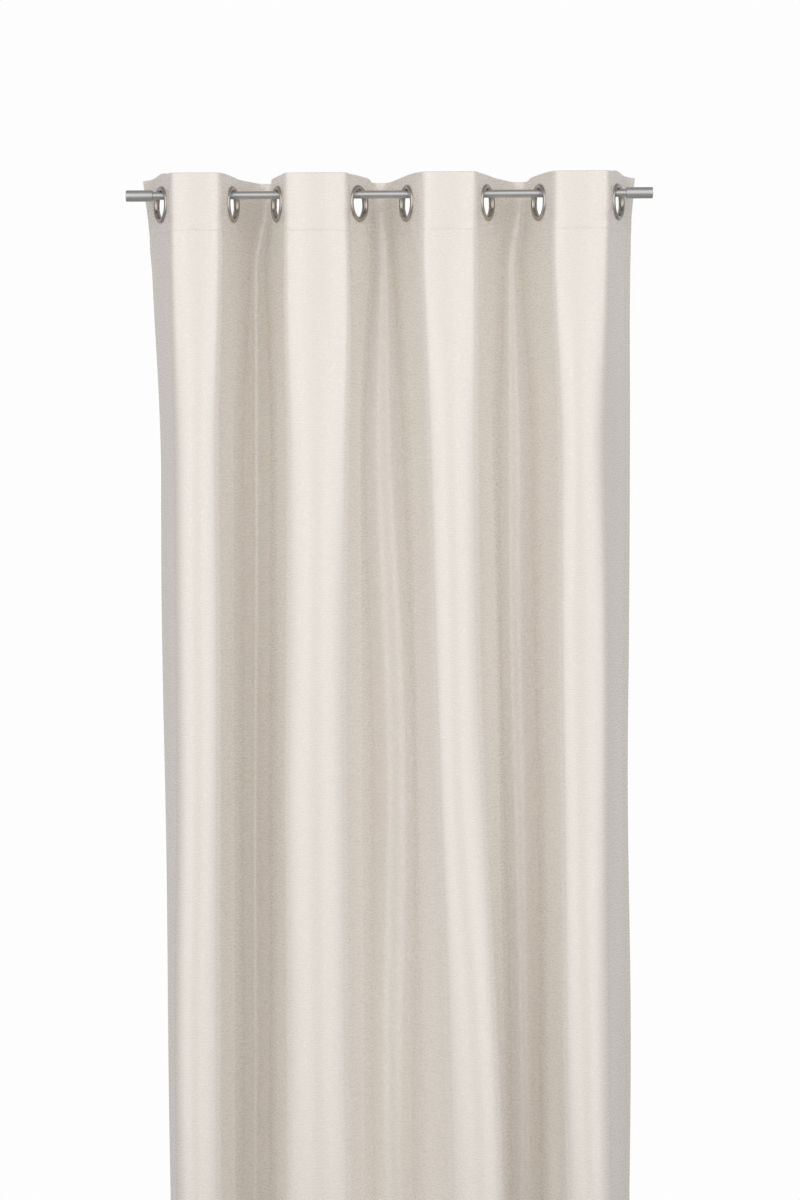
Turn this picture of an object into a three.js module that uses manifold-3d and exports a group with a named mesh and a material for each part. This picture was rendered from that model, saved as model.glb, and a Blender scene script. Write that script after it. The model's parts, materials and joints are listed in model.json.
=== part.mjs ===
// An eyelet curtain panel hanging in waves on a round rod with plain end caps.
//
// Millimetres. X runs along the rod, -Y faces the room, +Z is up, and the
// origin is on the rod's axis at mid-length.
//
// The cloth is one sewn sheet. It is divided here at the crests of its waves
// into panels that hinge on one another, each centred on one eyelet, so that
// the curtain can be drawn along the rod. Wave 0 is the first one, between
// eyelets 1 and 2, and it bulges into the room; the next goes behind the rod.

import * as THREE from 'three';
import * as BufferGeometryUtils from 'three/addons/utils/BufferGeometryUtils.js';
import Module from 'manifold-3d';

const manifold = await Module();
manifold.setup();

// ---- Driving dimensions -------------------------------------------------

const CLEARANCE = 0.3;            // between two pieces that bear on each other

const ROD_DIAMETER = 12;
const ROD_WALL = 1;
const OVERALL_LENGTH = 790;       // over the outer faces of the end caps

const CAP_WALL = 2.2;             // round the rod
const CAP_LENGTH = 40;
const CAP_END_WALL = 4;
const CAP_CHAMFER = 0.8;

const SCREW_DIAMETER = 3;         // M3 grub screw through the rear of each cap
const SCREW_LENGTH = 3;
const SCREW_CHAMFER = 0.3;
const SOCKET_ACROSS_FLATS = 1.5;
const SOCKET_DEPTH = 1.4;

const CLOTH_WALL = 0.8;           // one layer of cloth
const CLOTH_LENGTH = 2450;        // finished drop, top edge to hem
const EYELET_PITCH = 183;         // along the flat cloth, eyelet to eyelet
const EDGE_MARGIN = 59.5;         // flat cloth beyond the first and last eyelets
const EDGE_BEND = 35;             // degrees by which that margin curls outwards
const HEADER_DEPTH = 90;          // doubled band along the top
const EYELET_DROP = 42;           // top edge down to the eyelets' centres
const HEM_DEPTH = 80;             // doubled band along the bottom

const TAPE_WALL = 0.6;            // stiffening tape between the header's layers
const TAPE_DEPTH = 82;

const EYELET_HOLE = 40;           // diameter of the opening
const EYELET_RIM = 8;             // width of the front ring's lip
const BACK_RING_RIM = 4.5;
const LIP_HEIGHT = 3.2;
const BACK_RING_HEIGHT = 1.8;
const COLLAR_WALL = 1.2;

// The stretch of rod between each two eyelets, as parts of the length in use.
const WAVE_SHARES = [105, 69.5, 119.5, 74.5, 118, 80.5, 115.5];
const END_ROOM = 13.75;           // rod between an end cap and the nearest eyelet
// Degrees by which each ring is turned from the even hang of its wave.
const RING_TURNS = [-3, 6, 10, 1, 7, 5, 6, 5];
const RING_EASE = 3;              // lip that stands over cloth already free to curl

const ROUND_STEPS = 20;           // facets of every round piece
const LIP_STEPS = 4;              // facets across a ring's rounded lip
const CURL_STEPS = 5;             // facets from a ring's flat cloth to the crest of a wave
const LAST_FACET = 2;             // length of the facet that ends at a crest or an edge
const TRACE_STEPS = 160;          // straight steps in which a curve is followed
const SOLVE_STEPS = 40;
const FLATTENING = 8;             // how much sooner a wave flattens for each -1 of bulge

// ---- Values worked out from them ----------------------------------------

const rodRadius = ROD_DIAMETER / 2;
const rodLength = OVERALL_LENGTH - 2 * (CAP_END_WALL + CLEARANCE);
const usedLength = OVERALL_LENGTH - 2 * (CAP_LENGTH + END_ROOM);

const capRadius = rodRadius + CLEARANCE + CAP_WALL;

const holeRadius = EYELET_HOLE / 2;
const collarRadius = holeRadius + COLLAR_WALL;
const lipRadius = holeRadius + EYELET_RIM;
const ringFlat = lipRadius - RING_EASE;                    // cloth held flat by a ring

const layerGap = TAPE_WALL / 2 + CLEARANCE;                // middle to a layer's inside
const headerHalf = layerGap + CLOTH_WALL;                  // half the header's thickness
const ringSeat = headerHalf + CLEARANCE;                   // middle to a ring's underside
const collarEnd = ringSeat + BACK_RING_HEIGHT;

const shareTotal = WAVE_SHARES.reduce((sum, share) => sum + share, 0);
const waves = WAVE_SHARES.map((share, index) => ({
  span: usedLength * share / shareTotal,
  side: index % 2 === 0 ? -1 : 1,                          // -1 into the room, 1 behind
}));

const eyelets = [-usedLength / 2];
for (const wave of waves) {
  eyelets.push(eyelets.at(-1) + wave.span);
}

// ---- Plan shape of the waves --------------------------------------------

function solve(rises, low, high) {
  for (let step = 0; step < SOLVE_STEPS; step += 1) {
    const middle = (low + high) / 2;
    if (rises(middle) < 0) {
      low = middle;
    } else {
      high = middle;
    }
  }
  return (low + high) / 2;
}

// Where a stretch of cloth has got to at a distance from its ring, as
// distances along and away from the rod, and which way it is heading.
function follow(stretch, distance) {
  const stride = distance / TRACE_STEPS;
  let along = 0;
  let away = 0;
  for (let step = 0.5; step < TRACE_STEPS; step += 1) {
    const heading = stretch.heading(step * stride);
    along += Math.cos(heading) * stride;
    away += Math.sin(heading) * stride;
  }
  return { along, away, heading: stretch.heading(distance) };
}

// Half a wave leaves its ring straight, at an angle to the rod, and curls
// smoothly until it runs along the rod at the crest. A bulge above 0 widens
// the wave, and one below 0 lets it flatten sooner after its ring.
function halfWave(angle, length, bulge) {
  const haste = 1 + FLATTENING * Math.max(-bulge, 0);
  const widening = Math.max(bulge, 0);
  const heading = (distance) => {
    const turn = Math.PI / 2 * Math.max(distance - ringFlat, 0) / (length - ringFlat);
    const fall = Math.max(Math.cos(turn), 0);
    return angle * fall ** haste + widening * (fall - Math.cos(3 * turn));
  };
  return { heading, length };
}

// The half wave of a given cloth length that reaches its crest halfway to the
// next ring.
function fittedHalf(angle, length, reach) {
  const bulge = solve(
    (trial) => reach - follow(halfWave(angle, length, trial), length).along, -1, 1.5,
  );
  return halfWave(angle, length, bulge);
}

// The angle at which an even wave leaves both its rings with no bulge.
function evenAngle(span) {
  const length = EYELET_PITCH / 2;
  return solve((angle) => span / 2 - follow(halfWave(angle, length, 0), length).along, 0.2, 2.2);
}

// Each ring stands at its front wave's even angle, turned a little.
const ringAngles = eyelets.map((_, index) => {
  const front = waves[index - index % 2];
  return evenAngle(front.span) + THREE.MathUtils.degToRad(RING_TURNS[index]);
});

// The rings hang on the rod. One that stands askew bears on it at the end of
// its collar, to one side of the top of its hole, and so it hangs higher.
const askewLifts = ringAngles.map((angle) => {
  const sideways = collarEnd / Math.tan(angle);
  const roundness = rodRadius / Math.sin(angle) ** 2;
  return sideways ** 2 / 2 / (holeRadius - roundness);
});
const eyeletHeight = rodRadius + CLEARANCE - holeRadius + Math.max(...askewLifts);
const clothTop = eyeletHeight + EYELET_DROP;
const clothBottom = clothTop - CLOTH_LENGTH;
const headerBottom = clothTop - HEADER_DEPTH;

// The two halves of a wave share out the cloth between its rings so that they
// meet at one depth.
waves.forEach((wave, index) => {
  const halves = (length) => [
    fittedHalf(ringAngles[index], length, wave.span / 2),
    fittedHalf(ringAngles[index + 1], EYELET_PITCH - length, wave.span / 2),
  ];
  const unevenness = (length) => {
    const [left, right] = halves(length);
    return follow(left, left.length).away - follow(right, right.length).away;
  };
  const middle = EYELET_PITCH / 2;
  wave.halves = halves(solve(unevenness, 0.8 * middle, 1.2 * middle));
  wave.depth = follow(wave.halves[0], wave.halves[0].length).away;
});

// The margin beyond the outermost ring curls outwards beside the end cap.
function edgeStretch(angle) {
  const bend = THREE.MathUtils.degToRad(EDGE_BEND) / (EDGE_MARGIN - ringFlat);
  return {
    heading: (distance) => angle - bend * Math.max(distance - ringFlat, 0),
    length: EDGE_MARGIN,
  };
}

// One side of a panel's plan curve, from its ring outwards. `direction` is 1
// towards +X and -1 towards -X, and `offset` moves the curve into the room.
function panelHalf(index, direction, offset, shortened) {
  const wave = waves[direction > 0 ? index : index - 1];
  const side = wave ? wave.side : 1;
  const stretch = wave ? wave.halves[direction > 0 ? 0 : 1] : edgeStretch(ringAngles[index]);
  const end = stretch.length - shortened - (wave ? CLEARANCE / 2 : 0);
  const curl = stretch.length - LAST_FACET - ringFlat;
  const distances = [end];
  for (let step = CURL_STEPS; step >= 0; step -= 1) {
    distances.unshift(ringFlat + curl * step / CURL_STEPS);
  }
  return distances.map((distance) => {
    const { along, away, heading } = follow(stretch, distance);
    return new THREE.Vector2(
      direction * (along + side * offset * Math.sin(heading)),
      side * away - offset * Math.cos(heading),
    );
  });
}

function panelCurve(index, offset, shortened) {
  return [
    ...panelHalf(index, -1, offset, shortened).reverse(),
    ...panelHalf(index, 1, offset, shortened),
  ];
}

// A layer that follows the panel's plan curve between two offsets, from
// height `low` to `high`. A negative `shortened` runs it past the crests.
function layer(index, back, front, low, high, shortened = 0) {
  const outline = [
    ...panelCurve(index, front, shortened),
    ...panelCurve(index, back, shortened).reverse(),
  ];
  const geometry = new THREE.ExtrudeGeometry(new THREE.Shape(outline), {
    depth: high - low,
    bevelEnabled: false,
  });
  return geometry.translate(0, 0, low);
}

// ---- Solids --------------------------------------------------------------

function toSolid(geometry) {
  const bare = geometry.clone();
  bare.deleteAttribute('normal');
  bare.deleteAttribute('uv');
  const merged = BufferGeometryUtils.mergeVertices(bare);
  const corners = merged.index.array;
  const triangles = [];
  for (let first = 0; first < corners.length; first += 3) {
    const [a, b, c] = corners.slice(first, first + 3);
    if (a !== b && b !== c && c !== a) {
      triangles.push(a, b, c);
    }
  }
  return new manifold.Manifold(new manifold.Mesh({
    numProp: 3,
    vertProperties: new Float32Array(merged.attributes.position.array),
    triVerts: new Uint32Array(triangles),
  }));
}

function toGeometry(solid) {
  const mesh = solid.getMesh();
  const geometry = new THREE.BufferGeometry();
  geometry.setAttribute('position', new THREE.BufferAttribute(mesh.vertProperties, 3));
  geometry.setIndex(new THREE.BufferAttribute(mesh.triVerts, 1));
  geometry.computeVertexNormals();
  return geometry;
}

function cut(geometry, ...tools) {
  let solid = toSolid(geometry);
  for (const tool of tools) {
    solid = solid.subtract(toSolid(tool));
  }
  return toGeometry(solid);
}

function join(geometry, other) {
  return toGeometry(toSolid(geometry).add(toSolid(other)));
}

// A solid turned about Y from [radius, height] points, counter-clockwise.
function turned(points, steps = ROUND_STEPS) {
  const profile = points.map(([radius, height]) => new THREE.Vector2(radius, height));
  return new THREE.LatheGeometry(profile, steps);
}

// ---- Materials -----------------------------------------------------------

const cloth = new THREE.MeshStandardMaterial({ color: 0xe4d9cd, roughness: 0.55, metalness: 0 });
const tape = new THREE.MeshStandardMaterial({ color: 0xf2f0ea, roughness: 0.85, metalness: 0 });
const nickel = new THREE.MeshStandardMaterial({ color: 0xb9b3ab, roughness: 0.22, metalness: 1 });
const satinSteel = new THREE.MeshStandardMaterial({ color: 0xc3c4c5, roughness: 0.38, metalness: 1 });
const darkSteel = new THREE.MeshStandardMaterial({ color: 0x55534f, roughness: 0.5, metalness: 1 });

function piece(name, geometry, material) {
  const mesh = new THREE.Mesh(geometry, material);
  mesh.name = name;
  return mesh;
}

// ---- Rod and end caps ----------------------------------------------------

function rodTube() {
  const inside = rodRadius - ROD_WALL;
  const tube = piece('rod_tube', turned([
    [inside, -rodLength / 2],
    [rodRadius, -rodLength / 2],
    [rodRadius, rodLength / 2],
    [inside, rodLength / 2],
    [inside, -rodLength / 2],
  ]), satinSteel);
  tube.rotation.z = -Math.PI / 2;
  return tube;
}

// The cap's height runs outwards from its open end. `end` is 1 at +X and -1 at
// -X, and the grub screw goes in at the rear of both caps.
function capShell(end) {
  const bore = rodRadius + CLEARANCE;
  const shell = turned([
    [0, CAP_LENGTH - CAP_END_WALL],
    [bore, CAP_LENGTH - CAP_END_WALL],
    [bore, 0],
    [capRadius - CAP_CHAMFER, 0],
    [capRadius, CAP_CHAMFER],
    [capRadius, CAP_LENGTH - CAP_CHAMFER],
    [capRadius - CAP_CHAMFER, CAP_LENGTH],
    [0, CAP_LENGTH],
  ]);
  const screwHole = SCREW_DIAMETER / 2 + CLEARANCE;
  const drill = new THREE.CylinderGeometry(screwHole, screwHole, capRadius, ROUND_STEPS);
  drill.rotateZ(Math.PI / 2).translate(-end * (rodRadius + capRadius) / 2, CAP_LENGTH / 2, 0);
  return cut(shell, drill);
}

function grubScrew() {
  const radius = SCREW_DIAMETER / 2;
  const body = turned([
    [0, 0],
    [radius - SCREW_CHAMFER, 0],
    [radius, SCREW_CHAMFER],
    [radius, SCREW_LENGTH - SCREW_CHAMFER],
    [radius - SCREW_CHAMFER, SCREW_LENGTH],
    [0, SCREW_LENGTH],
  ]);
  const corner = SOCKET_ACROSS_FLATS / 2 / Math.cos(Math.PI / 6);
  const socket = new THREE.CylinderGeometry(corner, corner, 2 * SOCKET_DEPTH, 6);
  return cut(body, socket.translate(0, SCREW_LENGTH, 0));
}

function capAssembly(side, end) {
  const shell = piece(`end_cap_${side}`, capShell(end), satinSteel);
  shell.rotation.z = -end * Math.PI / 2;
  const screw = piece(`grub_screw_${side}`, grubScrew(), darkSteel);
  screw.position.set(end * CAP_LENGTH / 2, rodRadius + CLEARANCE, 0);
  const group = new THREE.Group();
  group.position.x = end * (OVERALL_LENGTH / 2 - CAP_LENGTH);
  group.add(shell, screw);
  return group;
}

// ---- Eyelets -------------------------------------------------------------

// A row of points over a rounded lip between two radii, from the outer one.
function lipPoints(inside, outside, base, height) {
  const points = [];
  for (let step = 0; step <= LIP_STEPS; step += 1) {
    const turn = Math.PI * step / LIP_STEPS;
    points.push([
      (inside + outside) / 2 + (outside - inside) / 2 * Math.cos(turn),
      base + height * Math.sin(turn),
    ]);
  }
  return points;
}

// Front ring: a rounded lip, and the collar that goes through the cloth.
function frontRing() {
  const profile = [
    ...lipPoints(holeRadius, lipRadius, ringSeat, LIP_HEIGHT),
    [holeRadius, -collarEnd],
    [collarRadius, -collarEnd],
    [collarRadius, ringSeat],
  ];
  return turned([...profile, profile[0]]);
}

// Back ring: a rounded washer that snaps on to the collar.
function backRing() {
  const inside = collarRadius + CLEARANCE;
  const lip = lipPoints(inside, inside + BACK_RING_RIM, ringSeat, BACK_RING_HEIGHT);
  const profile = lip.map(([radius, height]) => [radius, -height]).reverse();
  return turned([...profile, profile[0]]);
}

// ---- Cloth panels --------------------------------------------------------

// The turn of a ring about the vertical, from facing the room.
function ringTurn(index) {
  return (index % 2 === 0 ? -1 : 1) * ringAngles[index];
}

function eyeletDrill(index, thickness) {
  const radius = collarRadius + CLEARANCE;
  const drill = new THREE.CylinderGeometry(radius, radius, 6 * thickness, ROUND_STEPS);
  return drill.rotateZ(ringTurn(index)).translate(0, 0, eyeletHeight);
}

// The header is the cloth folded over at the top, open below and at the
// crests for the tape between its layers.
function headerBand(index) {
  const pastTheCrests = -2 * CLEARANCE;
  return cut(
    layer(index, -headerHalf, headerHalf, headerBottom, clothTop),
    layer(index, -layerGap, layerGap, headerBottom - 1, clothTop - CLOTH_WALL, pastTheCrests),
    eyeletDrill(index, headerHalf),
  );
}

function headerTape(index) {
  const top = clothTop - CLOTH_WALL - CLEARANCE;
  return cut(
    layer(index, -TAPE_WALL / 2, TAPE_WALL / 2, top - TAPE_DEPTH, top, CLOTH_WALL),
    eyeletDrill(index, TAPE_WALL),
  );
}

function drop(index) {
  const single = layer(index, layerGap, headerHalf, clothBottom, headerBottom - CLEARANCE);
  const hem = layer(
    index, layerGap - CLOTH_WALL, headerHalf, clothBottom, clothBottom + HEM_DEPTH,
  );
  return join(single, hem);
}

function panel(index) {
  const number = index + 1;
  const rings = new THREE.Group();
  rings.position.z = eyeletHeight;
  rings.rotation.z = ringTurn(index) + Math.PI;
  rings.add(
    piece(`eyelet_front_${number}`, frontRing(), nickel),
    piece(`eyelet_back_${number}`, backRing(), nickel),
  );
  const group = new THREE.Group();
  group.position.x = eyelets[index];
  group.add(
    piece(`header_${number}`, headerBand(index), cloth),
    piece(`header_tape_${number}`, headerTape(index), tape),
    piece(`drop_${number}`, drop(index), cloth),
    rings,
  );
  return group;
}

// ---- The whole object ----------------------------------------------------

const curtain = new THREE.Group();
curtain.add(rodTube(), capAssembly('left', -1), capAssembly('right', 1));
eyelets.forEach((_, index) => curtain.add(panel(index)));

export default curtain;
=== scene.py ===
"""The looks of an eyelet curtain that hangs in waves on a round rod.

The cloth is one sheet. Its plan shape is kept as a heading, the angle between
the cloth and the rod, at every distance along it and at every height, so that
its area stays within two hundredths of the flat sheet's. Distances on the
cloth are in millimetres, and everything in the scene is in metres.
"""

import json
import math

import bmesh
import bpy
import numpy as np
from bpy.props import FloatProperty, FloatVectorProperty, IntProperty, PointerProperty
from mathutils import Matrix, Vector


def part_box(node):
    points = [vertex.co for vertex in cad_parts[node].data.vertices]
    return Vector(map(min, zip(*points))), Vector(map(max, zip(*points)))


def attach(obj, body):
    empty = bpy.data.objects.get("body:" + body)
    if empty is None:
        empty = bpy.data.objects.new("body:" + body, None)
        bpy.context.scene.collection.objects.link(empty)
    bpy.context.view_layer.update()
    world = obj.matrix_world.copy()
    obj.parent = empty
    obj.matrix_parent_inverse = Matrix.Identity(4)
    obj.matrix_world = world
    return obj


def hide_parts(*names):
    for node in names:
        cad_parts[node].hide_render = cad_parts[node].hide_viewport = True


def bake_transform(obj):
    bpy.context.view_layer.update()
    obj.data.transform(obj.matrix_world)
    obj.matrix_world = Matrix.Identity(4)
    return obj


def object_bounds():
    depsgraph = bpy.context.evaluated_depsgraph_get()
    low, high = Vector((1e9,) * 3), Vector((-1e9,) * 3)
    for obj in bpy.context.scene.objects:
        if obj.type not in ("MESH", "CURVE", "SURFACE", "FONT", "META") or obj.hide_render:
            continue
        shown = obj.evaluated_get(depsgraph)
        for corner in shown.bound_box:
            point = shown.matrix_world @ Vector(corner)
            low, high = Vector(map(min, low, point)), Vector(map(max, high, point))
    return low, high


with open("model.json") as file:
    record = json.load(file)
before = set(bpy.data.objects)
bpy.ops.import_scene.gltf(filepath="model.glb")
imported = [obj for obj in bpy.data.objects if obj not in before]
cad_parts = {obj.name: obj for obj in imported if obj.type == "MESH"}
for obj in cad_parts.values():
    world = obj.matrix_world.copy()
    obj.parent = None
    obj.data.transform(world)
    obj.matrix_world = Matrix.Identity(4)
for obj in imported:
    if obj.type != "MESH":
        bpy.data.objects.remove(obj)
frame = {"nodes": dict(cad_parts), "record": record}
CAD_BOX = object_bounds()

bl_info = {
    "name": "Eyelet Curtain",
    "version": (1, 0, 0),
    "blender": (4, 5, 0),
    "location": "3D View > Sidebar > Curtain",
    "description": "An eyelet curtain in satin cloth on a brushed steel rod",
    "category": "Object",
}

MM = 0.001
RING_COUNT = 8
FRONT_OF_CLOTH = 1.4        # middle of the header to the face of the cloth, in mm
DROP_BACK = 0.6             # middle of the header to the back of the single layer
HEM_BACK = -0.2             # the same, where the bottom hem doubles the cloth
RING_SEAT = 1.7             # middle of the header to the underside of a ring
HEADER_DEPTH = 90.0
HEM_DEPTH = 80.0
SIDE_HEM = 28.0
END_UPTURN = 4.5            # rise of the cloth's edge above the two end rings
CREST_SAG = 1.5             # drop of the cloth between two rings
PITCH = 183.0               # along the flat cloth, eyelet to eyelet
MARGIN = 59.5               # flat cloth beyond the first and last eyelets
RING_FLAT = 25.0            # cloth that a ring holds flat, from its centre
TRACE_STEPS = 160           # steps in which a flank is added up
FLAT_WIDTH = 2 * MARGIN + (RING_COUNT - 1) * PITCH
SEAM_IN = 4.0               # from the edge of the header or the bottom hem to its seam
SIDE_SEAMS = (SIDE_HEM - 3, FLAT_WIDTH - SIDE_HEM + 3)
SEAM_SINK = 0.34            # how far each seam pulls the cloth in
HEM_SINK = 0.4
SIDE_SINK = 0.35
HEADER_PUCKER = 0.16        # height of the ripples beside each seam
HEM_PUCKER = 0.14
# Creases round a ring: the turn from across the cloth in degrees, height and width.
CREASES = (
    (-62, 1.5, 6.5), (-35, -1.1, 6.0), (-95, -0.8, 7.0), (-125, 1.2, 6.5), (-150, -1.0, 6.0),
)
# Light from the studio's tent: far from the front, at the front, from the two
# soft boxes, from behind, and as it shows past the curtain.
TENT_SIDES = (0.36, 0.35, 0.34, 1)
TENT_FRONT = (0.92, 0.91, 0.895, 1)
SOFT_BOXES = (1.38, 1.37, 1.35, 1)
TENT_BACK = (0.62, 0.61, 0.6, 1)
BACKDROP = (0.985, 0.985, 0.985, 1)
SCREWS = {"left": -1, "right": 1}


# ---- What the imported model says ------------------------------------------


def found_rings():
    """Each eyelet's place along the rod and its turn from the rod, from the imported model."""
    rings = []
    openings = frame["record"]["physics"]["openings"]
    for number in range(1, RING_COUNT + 1):
        low, high = next(o["box_m"] for o in openings if o["name"] == f"eyelet_{number}_hole")
        points = np.array(
            [v.co for v in frame["nodes"][f"eyelet_back_{number}"].data.vertices], float
        )
        spread = np.linalg.eigh(np.cov(points[:, :2].T))[1][:, -1]
        lowest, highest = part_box(f"eyelet_front_{number}")
        rings.append({
            "x": (low[0] + high[0]) / 2 / MM,
            "z": (lowest.z + highest.z) / 2 / MM,
            "angle": math.atan2(abs(spread[1]), abs(spread[0])),
            "distance": MARGIN + (number - 1) * PITCH,
        })
    return rings


RINGS = found_rings()
CLOTH_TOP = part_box("header_1")[1].z / MM
CLOTH_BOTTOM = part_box("drop_1")[0].z / MM
CLOTH_LENGTH = CLOTH_TOP - CLOTH_BOTTOM
RING_DROP = CLOTH_TOP - RINGS[0]["z"]


# ---- Sizes and colours that a user would change --------------------------


class RodSettings(bpy.types.PropertyGroup):
    radius: FloatProperty(
        name="Rod radius", description="Outside of the rod tube",
        default=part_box("rod_tube")[1].z, unit="LENGTH",
    )
    wall: FloatProperty(
        name="Rod wall", description="Wall of the rod tube", default=0.001, unit="LENGTH",
    )
    steel: FloatVectorProperty(
        name="Satin steel", description="Colour of the rod and its caps",
        default=(0.66, 0.665, 0.67), subtype="COLOR", min=0, max=1,
    )


class EyeletSettings(bpy.types.PropertyGroup):
    hole: FloatProperty(
        name="Hole radius", description="Inside of every eyelet", default=0.02, unit="LENGTH",
    )
    rim: FloatProperty(
        name="Lip width", description="Width of the rounded front lip", default=0.008,
        unit="LENGTH",
    )
    nickel: FloatVectorProperty(
        name="Nickel", description="Colour of the eyelets",
        default=(0.56, 0.52, 0.48), subtype="COLOR", min=0, max=1,
    )


class ClothSettings(bpy.types.PropertyGroup):
    light_thread: FloatVectorProperty(
        name="Light thread", description="Colour of the satin weft",
        default=(0.93, 0.895, 0.855), subtype="COLOR", min=0, max=1,
    )
    warm_thread: FloatVectorProperty(
        name="Warm thread", description="Colour between the weft threads",
        default=(0.89, 0.83, 0.765), subtype="COLOR", min=0, max=1,
    )
    slub_height: FloatProperty(
        name="Slub height", description="Relief of the thick places in the weft",
        default=0.00007, unit="LENGTH",
    )
    seed: IntProperty(name="Seed", description="Seed of the soft wrinkles", default=7)


class StitchSettings(bpy.types.PropertyGroup):
    pitch: FloatProperty(
        name="Stitch pitch", description="From one stitch to the next", default=0.0034,
        unit="LENGTH",
    )
    length: FloatProperty(
        name="Stitch length", description="Length of one stitch", default=0.0027, unit="LENGTH",
    )
    radius: FloatProperty(
        name="Thread radius", description="Radius of the sewing thread", default=0.0003,
        unit="LENGTH",
    )


class StageSettings(bpy.types.PropertyGroup):
    floor_radius: FloatProperty(
        name="Floor radius", description="Radius of the pale floor", default=4.5, unit="LENGTH",
    )
    key_power: FloatProperty(
        name="Key power", description="Power of the soft light in front", default=5.0,
    )


# ---- Shader maths --------------------------------------------------------


class Term:
    """A shader socket that takes part in Python arithmetic."""

    def __init__(self, finish, socket):
        self.finish, self.socket = finish, socket

    def maths(self, operation, other=0.0, swapped=False):
        values = [other, self] if swapped else [self, other]
        return self.finish.add("ShaderNodeMath", {"operation": operation}, dict(enumerate(values)))

    def __add__(self, other):
        return self.maths("ADD", other)

    __radd__ = __add__

    def __sub__(self, other):
        return self.maths("SUBTRACT", other)

    def __rsub__(self, other):
        return self.maths("SUBTRACT", other, True)

    def __mul__(self, other):
        return self.maths("MULTIPLY", other)

    __rmul__ = __mul__


class Finish:
    """A material, made node by node round one Principled shader."""

    def __init__(self, name, **constants):
        self.material = bpy.data.materials.new(name)
        self.material.use_nodes = True
        self.nodes = self.material.node_tree.nodes
        self.shader = self.nodes["Principled BSDF"]
        for socket, value in constants.items():
            self.shader.inputs[socket.replace("_", " ")].default_value = value

    def connect(self, value, socket):
        if isinstance(value, Term):
            self.material.node_tree.links.new(value.socket, socket)
        else:
            socket.default_value = value

    def add(self, kind, settings=None, inputs=None, output=0):
        node = self.nodes.new(kind)
        for name, value in (settings or {}).items():
            setattr(node, name, value)
        for key, value in (inputs or {}).items():
            self.connect(value, node.inputs[key])
        return Term(self, node.outputs[output])

    def feed(self, **sockets):
        for name, value in sockets.items():
            self.connect(value, self.shader.inputs[name.replace("_", " ")])
        return self.material

    def scaled(self, place, scale):
        return self.add(
            "ShaderNodeVectorMath", {"operation": "MULTIPLY"}, {0: place, 1: scale},
        )

    def noise(self, place, scale, detail=2.0, roughness=0.5):
        return self.add(
            "ShaderNodeTexNoise", {}, {
                "Vector": self.scaled(place, scale), "Scale": 1.0, "Detail": detail,
                "Roughness": roughness,
            },
        )

    def cells(self, place, scale):
        """A random number for each cell of a scaled pattern."""
        colour = self.add(
            "ShaderNodeTexVoronoi", {}, {"Vector": self.scaled(place, scale), "Scale": 1.0},
            "Color",
        )
        return self.add("ShaderNodeSeparateColor", {}, {0: colour})

    def limited(self, value, low, high):
        return self.add(
            "ShaderNodeMapRange", {"interpolation_type": "SMOOTHSTEP"},
            {0: value, 1: low, 2: high},
        )

    def mixed(self, share, first, second):
        return self.add(
            "ShaderNodeMix", {"data_type": "RGBA"}, {0: share, 6: first, 7: second}, 2,
        )

    def bump(self, height, distance):
        return self.add("ShaderNodeBump", {}, {"Distance": distance, "Height": height})


def opaque(colour):
    return (*colour, 1.0)


def satin_cloth(settings):
    """Slubby satin with a metallic glitter, laid out by distances on the cloth."""
    finish = Finish("satin_cloth", Sheen_Weight=0.15, Sheen_Roughness=0.5)
    place = finish.add("ShaderNodeUVMap", {"uv_map": "cloth"})
    slub = finish.noise(place, (150, 1000, 1), 3.0, 0.6)
    long_slub = finish.noise(place, (30, 620, 1), 2.0)
    crinkle = finish.noise(place, (300, 520, 1), 2.0)
    cloud = finish.noise(place, (5, 2.5, 1), 2.0)
    glitter = finish.limited(finish.cells(place, (420, 800, 1)), 0.84, 0.99)
    weft = finish.limited(slub * 0.6 + long_slub * 0.4, 0.36, 0.64)
    tone = 0.3 + weft * 0.3 + cloud * 0.2 + glitter * 0.2
    height = slub * 0.4 + long_slub * 0.2 + crinkle * 0.4
    return finish.feed(
        Base_Color=finish.mixed(
            tone, opaque(settings.warm_thread), opaque(settings.light_thread),
        ),
        Metallic=0.12 + glitter * 0.12 + weft * 0.04,
        Roughness=0.3 - glitter * 0.08 - weft * 0.04,
        Normal=finish.bump(height, settings.slub_height),
    )


def sewing_thread(settings):
    finish = Finish("sewing_thread", Roughness=0.55)
    place = finish.add("ShaderNodeTexCoord", {}, None, "Object")
    twist = finish.noise(place, (2600, 2600, 2600), 1.0)
    return finish.feed(
        Base_Color=finish.mixed(
            twist, opaque(settings.warm_thread), opaque(settings.light_thread),
        ),
        Normal=finish.bump(twist, 0.0001),
    )


def brushed_steel(settings):
    """Satin steel, drawn along the rod, with faint handling marks."""
    finish = Finish("satin_steel", Metallic=1.0)
    place = finish.add("ShaderNodeTexCoord", {}, None, "Object")
    drawn = finish.noise(place, (14, 2400, 2400), 3.0, 0.6)
    marks = finish.noise(place, (60, 60, 60), 3.0)
    dark = tuple(0.82 * c for c in settings.steel)
    return finish.feed(
        Base_Color=finish.mixed(marks * 0.5 + drawn * 0.5, opaque(dark), opaque(settings.steel)),
        Roughness=0.27 + drawn * 0.12 + marks * 0.06,
        Normal=finish.bump(drawn, 0.00002),
    )


def polished_nickel(settings):
    finish = Finish("polished_nickel", Metallic=1.0)
    place = finish.add("ShaderNodeTexCoord", {}, None, "Object")
    marks = finish.noise(place, (90, 90, 90), 4.0)
    hairlines = finish.noise(place, (1500, 1500, 160), 2.0)
    dark = tuple(0.86 * c for c in settings.nickel)
    return finish.feed(
        Base_Color=finish.mixed(marks, opaque(dark), opaque(settings.nickel)),
        Roughness=0.1 + marks * 0.1 + hairlines * 0.06,
        Normal=finish.bump(marks, 0.00005),
    )


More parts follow.
